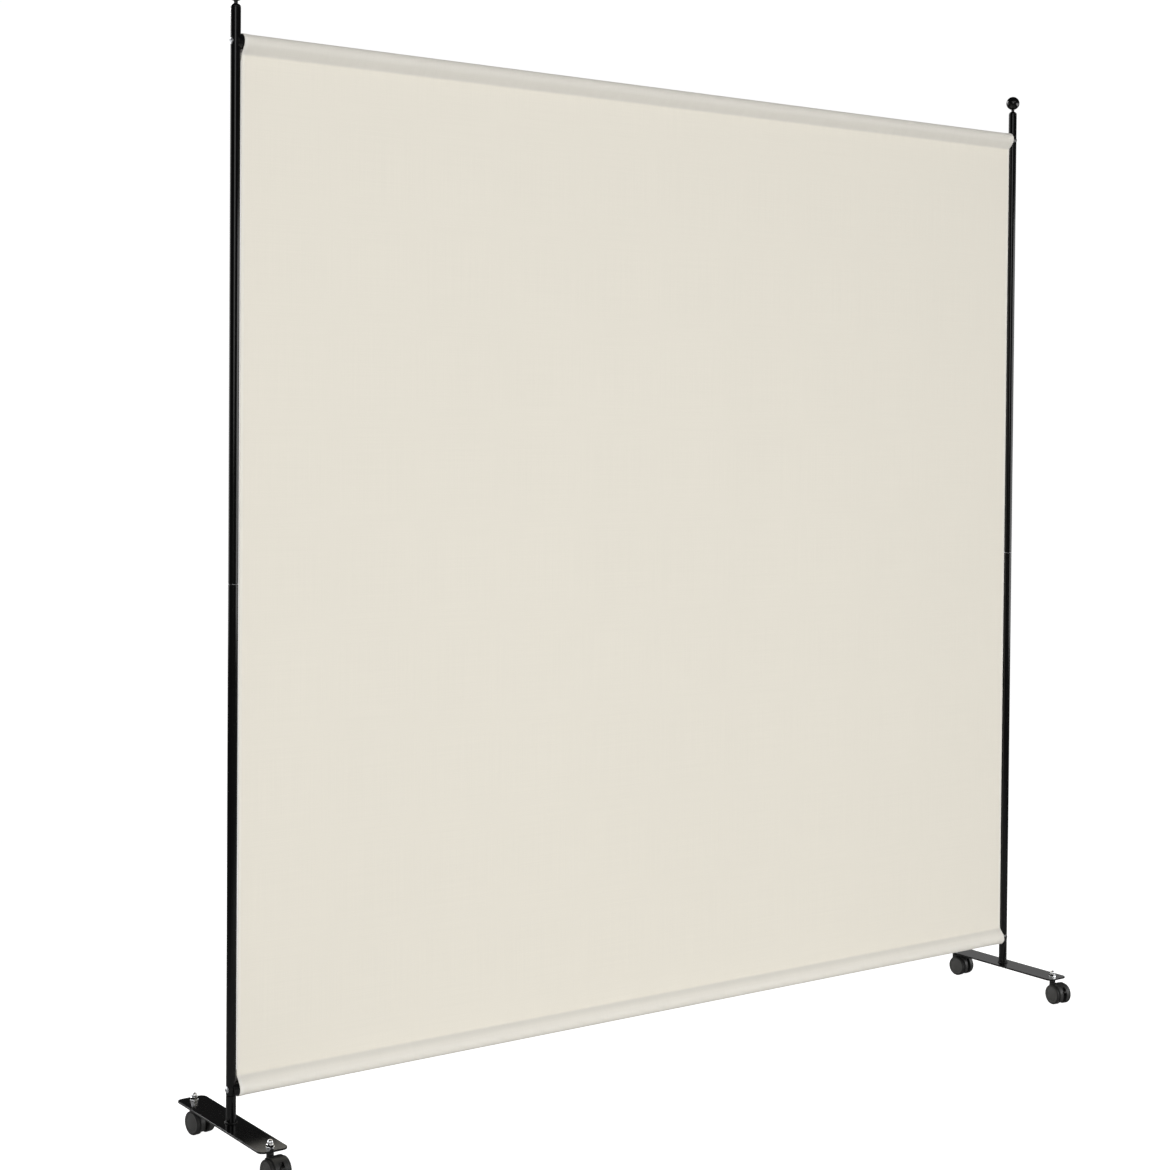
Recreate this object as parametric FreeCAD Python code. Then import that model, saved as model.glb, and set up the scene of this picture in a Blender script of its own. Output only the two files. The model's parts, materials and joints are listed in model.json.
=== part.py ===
import FreeCAD, Part
import math
import os
from FreeCAD import Vector

# Rolling room divider: two posts on wheeled base plates, with a cloth panel between two rails.
# Millimetres, +Z up. The origin is on the floor, midway between the posts.
# +X runs along the panel from the left post to the right post, and the front faces -Y.

# Overall sizes
post_spacing = 1750.0         # between the axes of the two posts
overall_height = 1835.0       # floor to the top of the finial balls
lower_rail_rise = 53.0        # top of the base plate to the lower rail's axis
upper_rail_drop = 88.5        # top of the finial balls to the upper rail's axis

# Base plates
plate_length = 302.0
plate_width = 50.0
plate_thickness = 3.0
plate_corner_radius = 11.0
plate_edge_round = 0.6
stem_spacing = 269.0          # between the two caster stems of one plate

# Posts and sockets
post_diameter = 16.0
post_wall = 1.5
lower_post_length = 805.0     # from its lower end to the joint line
socket_height = 44.0          # visible stub on the base plate
weld_leg = 2.2
spigot_length = 60.0          # reduced tube end inside the next tube
spigot_wall = 1.3
slide_clearance = 0.1         # radial, tube over reduced end
tube_end_chamfer = 0.5
post_joint_chamfer = 0.9      # the groove that shows at a joint line

# Finials
ball_diameter = 26.5
finial_neck_diameter = 6.6
finial_neck_length = 4.4
finial_cone_height = 5.6
finial_plug_length = 18.0

# Rails
rail_diameter = 22.0
rail_wall = 1.2
rail_spigot_length = 70.0

# Saddle spacers between the rail ends and the posts
saddle_lip = 0.5              # rail's surface to the saddle's rim
saddle_thickness = 4.5        # post surface to rail end, at the thinnest
saddle_wrap = 8.0             # how far the saddle reaches round the post
saddle_edge_round = 0.8
saddle_plug_length = 18.0
seat_clearance = 0.05         # concave seat on the post

# Rail bolts and their inserts
bolt_diameter = 6.0
bolt_head_diameter = 11.0
bolt_head_height = 2.8
bolt_hex_width = 4.0
bolt_hex_depth = 1.6
bolt_hole_clearance = 0.3     # radial
bolt_land_depth = 1.0         # flat pressed in the post under the head
bolt_land_clearance = 0.6     # radial, around the head
insert_diameter = 9.0
insert_length = 12.0
bolt_end_gap = 1.5            # shank end to insert end
fixed_fit = 0.02              # radial, for pieces that are held fast

# Cloth panel
cloth_thickness = 0.8
sleeve_clearance = 0.35       # cloth over the saddle
sleeve_point_length = 7.75    # sleeve's round to its seam
cloth_side_gap = 2.0          # post surface to the cloth's side edge

# Cap nuts and washers on the caster stems
nut_across_flats = 11.0
nut_hex_height = 4.5
nut_bevel_share = 0.95        # of the width across flats, where the corner bevel starts
nut_bevel_angle = 30.0
nut_dome_diameter = 9.6
nut_height = 11.2
washer_diameter = 13.6
washer_thickness = 1.0

# Casters
caster_trail = 17.0           # swivel axis to axle
wheel_diameter = 38.4
wheel_pair_width = 35.0       # across the rims of one pair
wheel_inner_gap = 13.0        # between the two wheels of one pair
wheel_rim_wall = 3.8
wheel_disc_wall = 2.0
wheel_shoulder_round = 2.0
wheel_hub_wall = 2.05
tread_chamfer = 0.8
cover_diameter = 33.0
cover_seat_depth = 1.4
cover_edge_thickness = 1.2
cover_ring_width = 3.2
cover_step = 0.5
cover_crown = 0.8             # dome above the wheel's rim
axle_diameter = 5.0
axle_end_gap = 0.3
running_fit = 0.05            # radial, for pieces that turn
snap_rib_width = 0.6
snap_rib_height = 0.2         # rib inside a bore, into a groove
snap_groove_depth = 0.4
snap_side_gap = 0.3
snap_rib_inset = 1.6          # rib to the wheel's disc
hood_gap = 0.8                # wheel tread to hood
hood_wall = 1.6
hood_plate_gap = 6.0          # hood's top to the base plate
hood_width = 24.0
hood_edge_round = 0.9
hood_slot_width = 8.6
hood_side_gap = 0.7           # hood's middle to the wheels
hood_web_thickness = 4.0
hood_lead_angle = 128.0       # where the hood starts, from the trailing side upwards
hood_slot_angle = 48.0        # where the slot in the hood starts
hood_tail_angle = -30.0       # where the hood ends
axle_boss_wall = 1.6
web_outline_shares = (        # of the wheel's radius, trailing and upwards from the axle
    (-0.79, -0.18),
    (0.0, -0.27),
    (0.34, -0.15),
    (0.68, 0.34),
    (0.66, 0.80),
)
stem_thread_diameter = 6.0
stem_hole_clearance = 0.25    # radial, stud in the plate
stem_thread_grip = 7.0        # depth of the cap nut's blind hole
stud_end_gap = 0.3            # stud to the end of that hole
stem_collar_diameter = 12.0
stem_collar_height = 2.5
stem_pin_diameter = 6.0
stem_pin_length = 25.0        # below the collar
stem_pin_end_gap = 0.5
boss_top_gap = 0.3            # collar to boss
boss_floor = 2.5              # closed end below the pin
stem_rib_share = 0.6          # of the pin's length, below the collar

# Where each caster stands, and how far it is turned at rest, in degrees
casters = {
    "front_left": (-1, -1, 4.0),
    "front_right": (1, -1, -7.0),
    "back_left": (-1, 1, 9.0),
    "back_right": (1, 1, 4.0),
}
braked_casters = ("front_left", "front_right")

# Brake levers
brake_pin_diameter = 2.0
brake_pivot_inset = 7.5       # wheel tread to pivot
brake_pivot_angle = 38.0
brake_cheek_thickness = 1.6
brake_cheek_gap = 0.3         # lever cheek to the hood's web
brake_hub_radius = 2.5
brake_arm_radius = 1.9
brake_lug_back = 2.0          # pivot to lug, against the trailing side
brake_lug_rise = 3.0          # pivot to lug, upwards
brake_lug_radius = 1.5
brake_lug_reach = 3.0         # lug inside the wheel
brake_pad_proud = 1.2         # pad's edge outside the hood
brake_pad_depth = 6.8
brake_pad_rise = 6.2          # axle to the pad's underside
brake_pad_thickness = 3.0
brake_pad_round = 0.8

cut_overrun = 5.0

# Worked out from the sizes above
wheel_radius = wheel_diameter / 2
hood_inner_radius = wheel_radius + hood_gap
hood_outer_radius = hood_inner_radius + hood_wall
plate_underside = wheel_radius + hood_outer_radius + hood_plate_gap
plate_top = plate_underside + plate_thickness
lower_rail_z = plate_top + lower_rail_rise
upper_rail_z = overall_height - upper_rail_drop
socket_top = plate_top + socket_height
post_joint_z = socket_top + lower_post_length
post_radius = post_diameter / 2
post_bore_radius = post_radius - post_wall
ball_radius = ball_diameter / 2
ball_z = overall_height - ball_radius
neck_radius = finial_neck_diameter / 2
ball_foot_z = ball_z - math.sqrt(ball_radius ** 2 - neck_radius ** 2)
post_top = ball_foot_z - finial_neck_length - finial_cone_height
rail_radius = rail_diameter / 2
saddle_radius = rail_radius + saddle_lip
saddle_face = post_radius + saddle_thickness
rail_length = post_spacing - 2 * saddle_face
sleeve_radius = saddle_radius + sleeve_clearance + cloth_thickness / 2
sleeve_seam_rise = sleeve_radius + sleeve_point_length
bolt_land_x = post_radius - bolt_land_depth
bolt_hole_radius = bolt_diameter / 2 + bolt_hole_clearance
wheel_inner = wheel_inner_gap / 2
wheel_outer = wheel_pair_width / 2
wheel_disc_outer = wheel_outer - cover_seat_depth
wheel_disc_inner = wheel_disc_outer - wheel_disc_wall
axle_radius = axle_diameter / 2
middle_half_width = wheel_inner - hood_side_gap
pin_radius = stem_pin_diameter / 2
collar_bottom = plate_underside - stem_collar_height
pin_bottom = collar_bottom - stem_pin_length
stem_rib_z = collar_bottom - stem_rib_share * stem_pin_length
brake_pivot_radius = wheel_radius - brake_pivot_inset
brake_pivot_y = -brake_pivot_radius * math.cos(math.radians(brake_pivot_angle))
brake_pivot_z = brake_pivot_radius * math.sin(math.radians(brake_pivot_angle))
brake_pad_end = hood_outer_radius + brake_pad_proud
brake_pad_start = brake_pad_end - brake_pad_depth
lever_half_width = hood_web_thickness / 2 + brake_cheek_gap + brake_cheek_thickness

Z_AXIS = Vector(0, 0, 1)
X_AXIS = Vector(1, 0, 0)
ORIGIN = Vector(0, 0, 0)


def revolve_about_z(outline):
    """Turn a closed outline of (radius, height) points about Z."""
    corners = [Vector(radius, 0, height) for radius, height in outline]
    wire = Part.makePolygon(corners + corners[:1])
    return Part.Face(wire).revolve(ORIGIN, Z_AXIS, 360)


def revolve_about_x(outline):
    """Turn a closed outline of (radius, place along X) points about X."""
    turned = revolve_about_z(outline)
    turned.rotate(ORIGIN, Vector(0, 1, 0), 90)
    return turned


def rod_along_x(radius, start, end, y=0.0, z=0.0):
    return Part.makeCylinder(radius, end - start, Vector(start, y, z), X_AXIS)


def rod_along_z(radius, start, end):
    return Part.makeCylinder(radius, end - start, Vector(0, 0, start), Z_AXIS)


def box_between(low, high):
    size = Vector(*high) - Vector(*low)
    return Part.makeBox(size.x, size.y, size.z, Vector(*low))


def hexagon_prism(across_flats, height, base, direction):
    corner_radius = across_flats / math.sqrt(3)
    ring = [
        Vector(corner_radius * math.cos(math.radians(a)), corner_radius * math.sin(math.radians(a)), 0)
        for a in range(0, 361, 60)
    ]
    prism = Part.Face(Part.makePolygon(ring)).extrude(Vector(0, 0, height))
    prism.Placement = FreeCAD.Placement(base, FreeCAD.Rotation(Z_AXIS, direction))
    return prism


def filleted(shape, radius, chosen):
    """Round the edges of a shape for which chosen(edge) holds."""
    edges = [edge for edge in shape.Edges if chosen(edge)]
    return shape.makeFillet(radius, edges)


def moved(shape, x=0.0, y=0.0, z=0.0, turn=0.0):
    """A copy turned about Z at the origin and then moved."""
    copy = shape.copy()
    copy.rotate(ORIGIN, Z_AXIS, turn)
    copy.translate(Vector(x, y, z))
    return copy


def at_post(shape, side, z=0.0):
    """Place a shape modelled with +X pointing from the post to the panel."""
    return moved(shape, x=side * post_spacing / 2, z=z, turn=90 + side * 90)


def plain_tube(radius, wall, length, foot_chamfer):
    chamfer = tube_end_chamfer
    inner = radius - wall
    return revolve_about_z([
        (inner, 0), (radius - foot_chamfer, 0), (radius, foot_chamfer), (radius, length - chamfer),
        (radius - chamfer, length), (inner, length),
    ])


def spigot_tube(radius, wall, length, reduced_length, bore_of_next, joint_chamfer):
    """A tube whose upper end is reduced to slide into the bore of the next tube."""
    chamfer = tube_end_chamfer
    inner = radius - wall
    reduced = bore_of_next - slide_clearance
    reduced_inner = reduced - spigot_wall
    neck = inner - reduced_inner
    top = length + reduced_length
    return revolve_about_z([
        (inner, 0), (radius - joint_chamfer, 0), (radius, joint_chamfer), (radius, length - joint_chamfer),
        (radius - joint_chamfer, length), (reduced, length), (reduced, top - chamfer),
        (reduced - chamfer, top), (reduced_inner, top), (reduced_inner, length - wall),
        (inner, length - wall - neck),
    ])


def bolt_cuts():
    """Hole through a post and the flat for the bolt's head on its outer side."""
    reach = post_radius + cut_overrun
    hole = rod_along_x(bolt_hole_radius, -reach, reach)
    land_radius = bolt_head_diameter / 2 + bolt_land_clearance
    return hole, rod_along_x(land_radius, -reach, -bolt_land_x)


def base_plate():
    half_width = plate_width / 2
    half_length = plate_length / 2
    low = (-half_width, -half_length, plate_underside)
    high = (half_width, half_length, plate_top)
    plate = box_between(low, high)
    plate = filleted(plate, plate_corner_radius, lambda edge: edge.BoundBox.ZLength > plate_thickness / 2)
    plate = filleted(plate, plate_edge_round, lambda edge: edge.BoundBox.ZLength < plate_thickness / 2)
    for end in (-1, 1):
        hole_radius = stem_thread_diameter / 2 + stem_hole_clearance
        hole = rod_along_z(hole_radius, plate_underside - cut_overrun, plate_top + cut_overrun)
        plate = plate.cut(moved(hole, y=end * stem_spacing / 2))
    return plate


def base_socket():
    """Stub tube on the plate, with its weld, and the reduced end that the lower post slides over."""
    stub = spigot_tube(
        post_radius, post_wall, socket_height, spigot_length, post_bore_radius, post_joint_chamfer,
    )
    weld = revolve_about_z([
        (post_bore_radius, 0), (post_radius + weld_leg, 0), (post_radius + tube_end_chamfer, weld_leg / 2),
        (post_radius - tube_end_chamfer, weld_leg + tube_end_chamfer), (post_bore_radius, weld_leg),
    ])
    hole = moved(bolt_cuts()[0], z=lower_rail_rise)
    return moved(stub.fuse(weld).removeSplitter().cut(hole), z=plate_top)


def lower_post():
    tube = spigot_tube(
        post_radius, post_wall, lower_post_length, spigot_length, post_bore_radius, post_joint_chamfer,
    )
    tube = moved(tube, z=socket_top)
    for cut in bolt_cuts():
        tube = tube.cut(moved(cut, z=lower_rail_z))
    return tube


def upper_post():
    tube = plain_tube(post_radius, post_wall, post_top - post_joint_z, post_joint_chamfer)
    tube = moved(tube, z=post_joint_z)
    for cut in bolt_cuts():
        tube = tube.cut(moved(cut, z=upper_rail_z))
    return tube


def finial():
    """Plug, cone, neck and ball, turned as one piece."""
    plug_radius = post_bore_radius - slide_clearance
    chamfer = tube_end_chamfer
    plug_foot = post_top - finial_plug_length
    cone_top = post_top + finial_cone_height
    stalk = revolve_about_z([
        (0, plug_foot), (plug_radius - chamfer, plug_foot), (plug_radius, plug_foot + chamfer),
        (plug_radius, post_top), (post_radius - chamfer, post_top), (post_radius, post_top + chamfer),
        (neck_radius, cone_top), (neck_radius, ball_z), (0, ball_z),
    ])
    ball = Part.makeSphere(ball_radius, Vector(0, 0, ball_z))
    return stalk.fuse(ball).removeSplitter()


def rail_half(with_spigot):
    """Half of a rail, from its end at the saddle to the joint in the middle."""
    half = rail_length / 2
    if with_spigot:
        rail_bore_radius = rail_radius - rail_wall
        tube = spigot_tube(
            rail_radius, rail_wall, half, rail_spigot_length, rail_bore_radius, tube_end_chamfer,
        )
    else:
        tube = plain_tube(rail_radius, rail_wall, half, tube_end_chamfer)
    tube.rotate(ORIGIN, Vector(0, 1, 0), 90)
    tube.translate(Vector(saddle_face, 0, 0))
    return tube


def saddle():
    """Round spacer with a concave seat on the post and a plug in the rail's end."""
    start = post_radius - saddle_wrap
    plug_end = saddle_face + saddle_plug_length
    plug_radius = rail_radius - rail_wall - slide_clearance
    body = rod_along_x(saddle_radius, start, saddle_face)
    body = filleted(body, saddle_edge_round, lambda edge: edge.BoundBox.XMax < saddle_face - seat_clearance
                    and edge.BoundBox.XLength < seat_clearance)
    body = body.fuse(rod_along_x(plug_radius, saddle_face, plug_end))
    seat = rod_along_z(post_radius + seat_clearance, -rail_diameter, rail_diameter)
    bore = rod_along_x(bolt_hole_radius, 0, plug_end + cut_overrun)
    pocket_radius = insert_diameter / 2 + fixed_fit
    pocket = rod_along_x(pocket_radius, plug_end - insert_length, plug_end + cut_overrun)
    return body.cut(seat).cut(bore).cut(pocket)


def rail_insert():
    """Threaded bush held in the saddle's plug."""
    end = saddle_face + saddle_plug_length
    bush = rod_along_x(insert_diameter / 2, end - insert_length, end)
    bore = rod_along_x(bolt_diameter / 2 + fixed_fit, end - insert_length - cut_overrun, end + cut_overrun)
    return bush.cut(bore)


def rail_bolt():
    """Low domed head with a hexagon socket, on the post's outer side, and its shank to the insert."""
    head_radius = bolt_head_diameter / 2
    head_top = -bolt_land_x - bolt_head_height
    shank_end = saddle_face + saddle_plug_length - bolt_end_gap
    dome_radius = (head_radius ** 2 + bolt_head_height ** 2) / (2 * bolt_head_height)
    dome = Part.makeSphere(dome_radius, Vector(head_top + dome_radius, 0, 0))
    head = dome.common(rod_along_x(head_radius, head_top, -bolt_land_x))
    socket_base = Vector(head_top - cut_overrun, 0, 0)
    head = head.cut(hexagon_prism(bolt_hex_width, cut_overrun + bolt_hex_depth, socket_base, X_AXIS))
    return head.fuse(rod_along_x(bolt_diameter / 2, -bolt_land_x, shank_end)).removeSplitter()


def drop_outline(radius, apex):
    """Closed teardrop in the YZ plane: a round of the given radius with its point at +Z."""
    slope = math.asin(radius / apex)
    side = Vector(0, radius * math.cos(slope), radius * math.sin(slope))
    other = Vector(0, -side.y, side.z)
    point = Vector(0, 0, apex)
    round_part = Part.Arc(side, Vector(0, 0, -radius), other).toShape()
    return Part.Wire([round_part, Part.makeLine(other, point), Part.makeLine(point, side)])


def sleeve(length):
    """Cloth loop around a rail, with its seam at +Z."""
    slope_sine = sleeve_radius / sleeve_seam_rise
    outer = sleeve_radius + cloth_thickness / 2
    inner = sleeve_radius - cloth_thickness / 2
    run = Vector(length, 0, 0)
    skin = Part.Face(drop_outline(outer, outer / slope_sine)).extrude(run)
    hollow = Part.Face(drop_outline(inner, inner / slope_sine)).extrude(run)
    return skin.cut(hollow)


def cloth_panel():
    """Flat cloth between the two seams, with a sleeve at each rail."""
    right_end = post_spacing / 2 - post_radius - cloth_side_gap
    left_end = -right_end
    loop = sleeve(right_end - left_end)
    lower = moved(loop, x=left_end, z=lower_rail_z)
    upper = loop.copy()
    upper.rotate(ORIGIN, X_AXIS, 180)
    upper = moved(upper, x=left_end, z=upper_rail_z)
    low = (left_end, -cloth_thickness / 2, lower_rail_z + sleeve_seam_rise)
    high = (right_end, cloth_thickness / 2, upper_rail_z - sleeve_seam_rise)
    return box_between(low, high).fuse([lower, upper]).removeSplitter()


def cap_nut():
    """Hexagon nut with a domed cap, blind bored for the stud."""
    foot = plate_top + washer_thickness
    dome_radius = nut_dome_diameter / 2
    dome_base = foot + nut_height - dome_radius
    body = hexagon_prism(nut_across_flats, nut_hex_height, Vector(0, 0, foot), Z_AXIS)
    bevel_radius = nut_bevel_share * nut_across_flats / 2
    cone_radius = bevel_radius + nut_hex_height / math.tan(math.radians(nut_bevel_angle))
    body = body.common(Part.makeCone(cone_radius, bevel_radius, nut_hex_height, Vector(0, 0, foot)))
    body = body.fuse(rod_along_z(dome_radius, foot, dome_base))
    body = body.fuse(Part.makeSphere(dome_radius, Vector(0, 0, dome_base)))
    bore = rod_along_z(stem_thread_diameter / 2 + fixed_fit, foot - cut_overrun, foot + stem_thread_grip)
    return body.removeSplitter().cut(bore)


def washer():
    ring = rod_along_z(washer_diameter / 2, plate_top, plate_top + washer_thickness)
    hole_radius = stem_thread_diameter / 2 + stem_hole_clearance
    return ring.cut(rod_along_z(hole_radius, plate_underside, plate_top + washer_thickness + cut_overrun))


def caster_stem():
    """Stud through the plate, collar below it, and the grooved pin on which the hood swivels."""
    stud_radius = stem_thread_diameter / 2
    collar_radius = stem_collar_diameter / 2
    stud_top = plate_top + washer_thickness + stem_thread_grip - stud_end_gap
    chamfer = tube_end_chamfer
    half_groove = snap_rib_width / 2 + snap_side_gap
    groove_radius = pin_radius - snap_groove_depth
    return revolve_about_z([
        (0, pin_bottom), (pin_radius - chamfer, pin_bottom), (pin_radius, pin_bottom + chamfer),
        (pin_radius, stem_rib_z - half_groove), (groove_radius, stem_rib_z - half_groove),
        (groove_radius, stem_rib_z + half_groove), (pin_radius, stem_rib_z + half_groove),
        (pin_radius, collar_bottom), (collar_radius - chamfer, collar_bottom),
        (collar_radius, collar_bottom + chamfer), (collar_radius, plate_underside),
        (stud_radius, plate_underside), (stud_radius, stud_top - chamfer),
        (stud_radius - chamfer, stud_top), (0, stud_top),
    ])


def stem_bore():
    """Space in the hood's boss for the swivel pin, with the rib that snaps into its groove."""
    bore_radius = pin_radius + running_fit
    rib_radius = pin_radius - snap_rib_height
    half_rib = snap_rib_width / 2
    foot = pin_bottom - stem_pin_end_gap
    top = collar_bottom + cut_overrun
    return revolve_about_z([
        (0, foot), (bore_radius, foot),
        (bore_radius, stem_rib_z - half_rib), (rib_radius, stem_rib_z - half_rib),
        (rib_radius, stem_rib_z + half_rib), (bore_radius, stem_rib_z + half_rib),
        (bore_radius, top), (0, top),
    ])


def hood_band(inner_edge, outer_edge, start_angle, end_angle):
    """Part of the hood's curved wall, between two places along X, turned about the axle."""
    edge_round = hood_edge_round
    bevel = edge_round * (1 - math.sqrt(2) / 2)
    low = Vector(inner_edge, -hood_inner_radius, 0)
    low_out = Vector(outer_edge, -hood_inner_radius, 0)
    side = Vector(outer_edge, -hood_outer_radius + edge_round, 0)
    crown = Vector(outer_edge - edge_round, -hood_outer_radius, 0)
    corner = Vector(outer_edge - bevel, -hood_outer_radius + bevel, 0)
    crown_in = Vector(inner_edge, -hood_outer_radius, 0)
    edges = [
        Part.makeLine(low, low_out), Part.makeLine(low_out, side), Part.Arc(side, corner, crown).toShape(),
        Part.makeLine(crown, crown_in), Part.makeLine(crown_in, low),
    ]
    band = Part.Face(Part.Wire(edges))
    band.rotate(ORIGIN, X_AXIS, -start_angle)
    return band.revolve(ORIGIN, X_AXIS, start_angle - end_angle)


def hood_web():
    """Middle plate of the hood, from the stem's boss past the axle and up to the curved wall."""
    points = [Vector(0, -u * wheel_radius, v * wheel_radius) for u, v in web_outline_shares]
    reach = (hood_inner_radius + hood_outer_radius) / 2
    start = math.atan2(points[-1].z, -points[-1].y)
    end = math.radians(hood_lead_angle)
    rim = [
        Vector(0, -reach * math.cos(a), reach * math.sin(a)) for a in (start, (start + end) / 2, end)
    ]
    edges = [Part.makeLine(a, b) for a, b in zip(points, points[1:])]
    edges += [Part.makeLine(points[-1], rim[0]), Part.Arc(*rim).toShape(), Part.makeLine(rim[2], points[0])]
    plate = Part.Face(Part.Wire(edges)).extrude(Vector(hood_web_thickness, 0, 0))
    plate.translate(Vector(-hood_web_thickness / 2, 0, 0))
    return plate


def caster_hood(braked):
    """Swivelling body of a caster: stem boss, web, axle boss and curved hood over the wheels."""
    axle_place = Vector(0, -caster_trail, wheel_radius)
    half_slot = hood_slot_width / 2
    boss_radius = axle_radius + fixed_fit + axle_boss_wall
    pieces = [hood_web(), rod_along_x(boss_radius, -middle_half_width, middle_half_width)]
    for hand in (False, True):
        wide = hood_band(0, hood_width / 2, hood_slot_angle, hood_lead_angle)
        strip = hood_band(half_slot, hood_width / 2, hood_tail_angle, hood_slot_angle)
        for band in (wide, strip):
            pieces.append(band.mirror(ORIGIN, X_AXIS) if hand else band)
    for piece in pieces:
        piece.translate(axle_place)
    boss_foot = pin_bottom - stem_pin_end_gap - boss_floor
    boss = rod_along_z(middle_half_width, boss_foot, collar_bottom - boss_top_gap)
    boss = filleted(boss, hood_edge_round, lambda edge: edge.BoundBox.ZLength < hood_edge_round)
    body = boss.fuse(pieces).removeSplitter().cut(stem_bore())
    axle_bore = rod_along_x(axle_radius + fixed_fit, -hood_width, hood_width, -caster_trail, wheel_radius)
    body = body.cut(axle_bore)
    if braked:
        pivot = rod_along_x(
            brake_pin_diameter / 2 + fixed_fit, -hood_width, hood_width,
            brake_pivot_y - caster_trail, brake_pivot_z + wheel_radius,
        )
        body = body.cut(pivot)
    return body


def wheel_axle():
    """Pin with a groove near each end for the wheels' snap ribs."""
    half = wheel_disc_inner - axle_end_gap
    groove_place = wheel_disc_inner - snap_rib_inset
    half_groove = snap_rib_width / 2 + snap_side_gap
    groove_radius = axle_radius - snap_groove_depth
    chamfer = tube_end_chamfer
    one_side = [
        (axle_radius, groove_place - half_groove), (groove_radius, groove_place - half_groove),
        (groove_radius, groove_place + half_groove), (axle_radius, groove_place + half_groove),
        (axle_radius, half - chamfer), (axle_radius - chamfer, half), (0, half),
    ]
    other_side = [(radius, -place) for radius, place in reversed(one_side)]
    axle = revolve_about_x(other_side + one_side)
    axle.translate(Vector(0, -caster_trail, wheel_radius))
    return axle


def wheel(hand):
    """One wheel of a pair: tread, rim, disc and hub with a snap rib. hand is the side along X."""
    bore = axle_radius + running_fit
    hub = bore + wheel_hub_wall
    rim_inner = wheel_radius - wheel_rim_wall
    seat = cover_diameter / 2 + fixed_fit
    rib_place = wheel_disc_inner - snap_rib_inset
    half_rib = snap_rib_width / 2
    rib = axle_radius - snap_rib_height
    shoulder = wheel_shoulder_round
    bevel = shoulder * (1 - math.sqrt(2) / 2)
    body = revolve_about_x([
        (0, wheel_disc_inner), (bore, wheel_disc_inner),
        (bore, rib_place + half_rib), (rib, rib_place + half_rib),
        (rib, rib_place - half_rib), (bore, rib_place - half_rib),
        (bore, wheel_inner), (hub, wheel_inner),
        (hub, wheel_disc_inner), (rim_inner, wheel_disc_inner), (rim_inner, wheel_inner),
        (wheel_radius - tread_chamfer, wheel_inner), (wheel_radius, wheel_inner + tread_chamfer),
        (wheel_radius, wheel_outer - shoulder), (wheel_radius - bevel, wheel_outer - bevel),
        (wheel_radius - shoulder, wheel_outer), (seat, wheel_outer), (seat, wheel_disc_outer),
        (0, wheel_disc_outer),
    ])
    return at_axle(body, hand)


def wheel_cover(hand):
    """Cover disc snapped into the wheel's outer face: a flat ring around a low dome."""
    radius = cover_diameter / 2
    ring_inner = radius - cover_ring_width
    foot = wheel_disc_outer
    edge = foot + cover_edge_thickness
    crown = wheel_outer + cover_crown
    dome_foot = edge - cover_step
    rise = crown - dome_foot
    dome_radius = (ring_inner ** 2 + rise ** 2) / (2 * rise)
    chamfer = cover_step / 2
    ring = revolve_about_x([
        (0, foot), (radius, foot), (radius, edge - chamfer), (radius - chamfer, edge),
        (ring_inner + chamfer, edge), (ring_inner, dome_foot), (0, dome_foot),
    ])
    dome = Part.makeSphere(dome_radius, Vector(crown - dome_radius, 0, 0))
    cap = dome.common(rod_along_x(ring_inner, dome_foot, crown + cover_step))
    return at_axle(ring.fuse(cap).removeSplitter(), hand)


def at_axle(shape, hand):
    """Put a piece modelled on +X at the axle, on the chosen side."""
    turned = moved(shape, turn=90 - hand * 90)
    turned.translate(Vector(0, -caster_trail, wheel_radius))
    return turned


def capsule(start, end, radius, low_x, high_x):
    """Flat bar with round ends between two (Y, Z) places, from low_x to high_x."""
    along = Vector(0, end[0] - start[0], end[1] - start[1])
    side = X_AXIS.cross(along).normalize() * radius
    first = Vector(low_x, start[0], start[1])
    corners = [first + side, first + side + along, first - side + along, first - side]
    bar = Part.Face(Part.makePolygon(corners + corners[:1])).extrude(Vector(high_x - low_x, 0, 0))
    ends = [rod_along_x(radius, low_x, high_x, y, z) for y, z in (start, end)]
    return bar.fuse(ends).removeSplitter()


def brake_lever():
    """Bell crank on the hood's web: a foot pad, two cheeks and a lug inside each wheel."""
    pivot = (brake_pivot_y, brake_pivot_z)
    lug = (brake_pivot_y + brake_lug_back, brake_pivot_z + brake_lug_rise)
    pad_middle = brake_pad_rise + brake_pad_thickness / 2
    arm_end = (-brake_pad_start - brake_arm_radius, pad_middle)
    low = (-lever_half_width, -brake_pad_end, brake_pad_rise)
    high = (lever_half_width, -brake_pad_start, brake_pad_rise + brake_pad_thickness)
    pad = box_between(low, high)
    lever = filleted(pad, brake_pad_round, lambda edge: edge.BoundBox.YMax < -brake_pad_start)
    cheek_start = hood_web_thickness / 2 + brake_cheek_gap
    pieces = []
    for hand in (-1, 1):
        near, far = sorted((hand * cheek_start, hand * lever_half_width))
        pieces.append(capsule(lug, pivot, brake_hub_radius, near, far))
        pieces.append(capsule(pivot, arm_end, brake_arm_radius, near, far))
        lug_start, lug_end = sorted((hand * cheek_start, hand * (wheel_inner + brake_lug_reach)))
        pieces.append(rod_along_x(brake_lug_radius, lug_start, lug_end, *lug))
    lever = lever.fuse(pieces).removeSplitter()
    pin_hole = rod_along_x(brake_pin_diameter / 2 + running_fit, -hood_width, hood_width, *pivot)
    lever = lever.cut(pin_hole)
    lever.translate(Vector(0, -caster_trail, wheel_radius))
    return lever


def brake_pin():
    place = (brake_pivot_y - caster_trail, brake_pivot_z + wheel_radius)
    return rod_along_x(brake_pin_diameter / 2, -lever_half_width, lever_half_width, *place)


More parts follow.
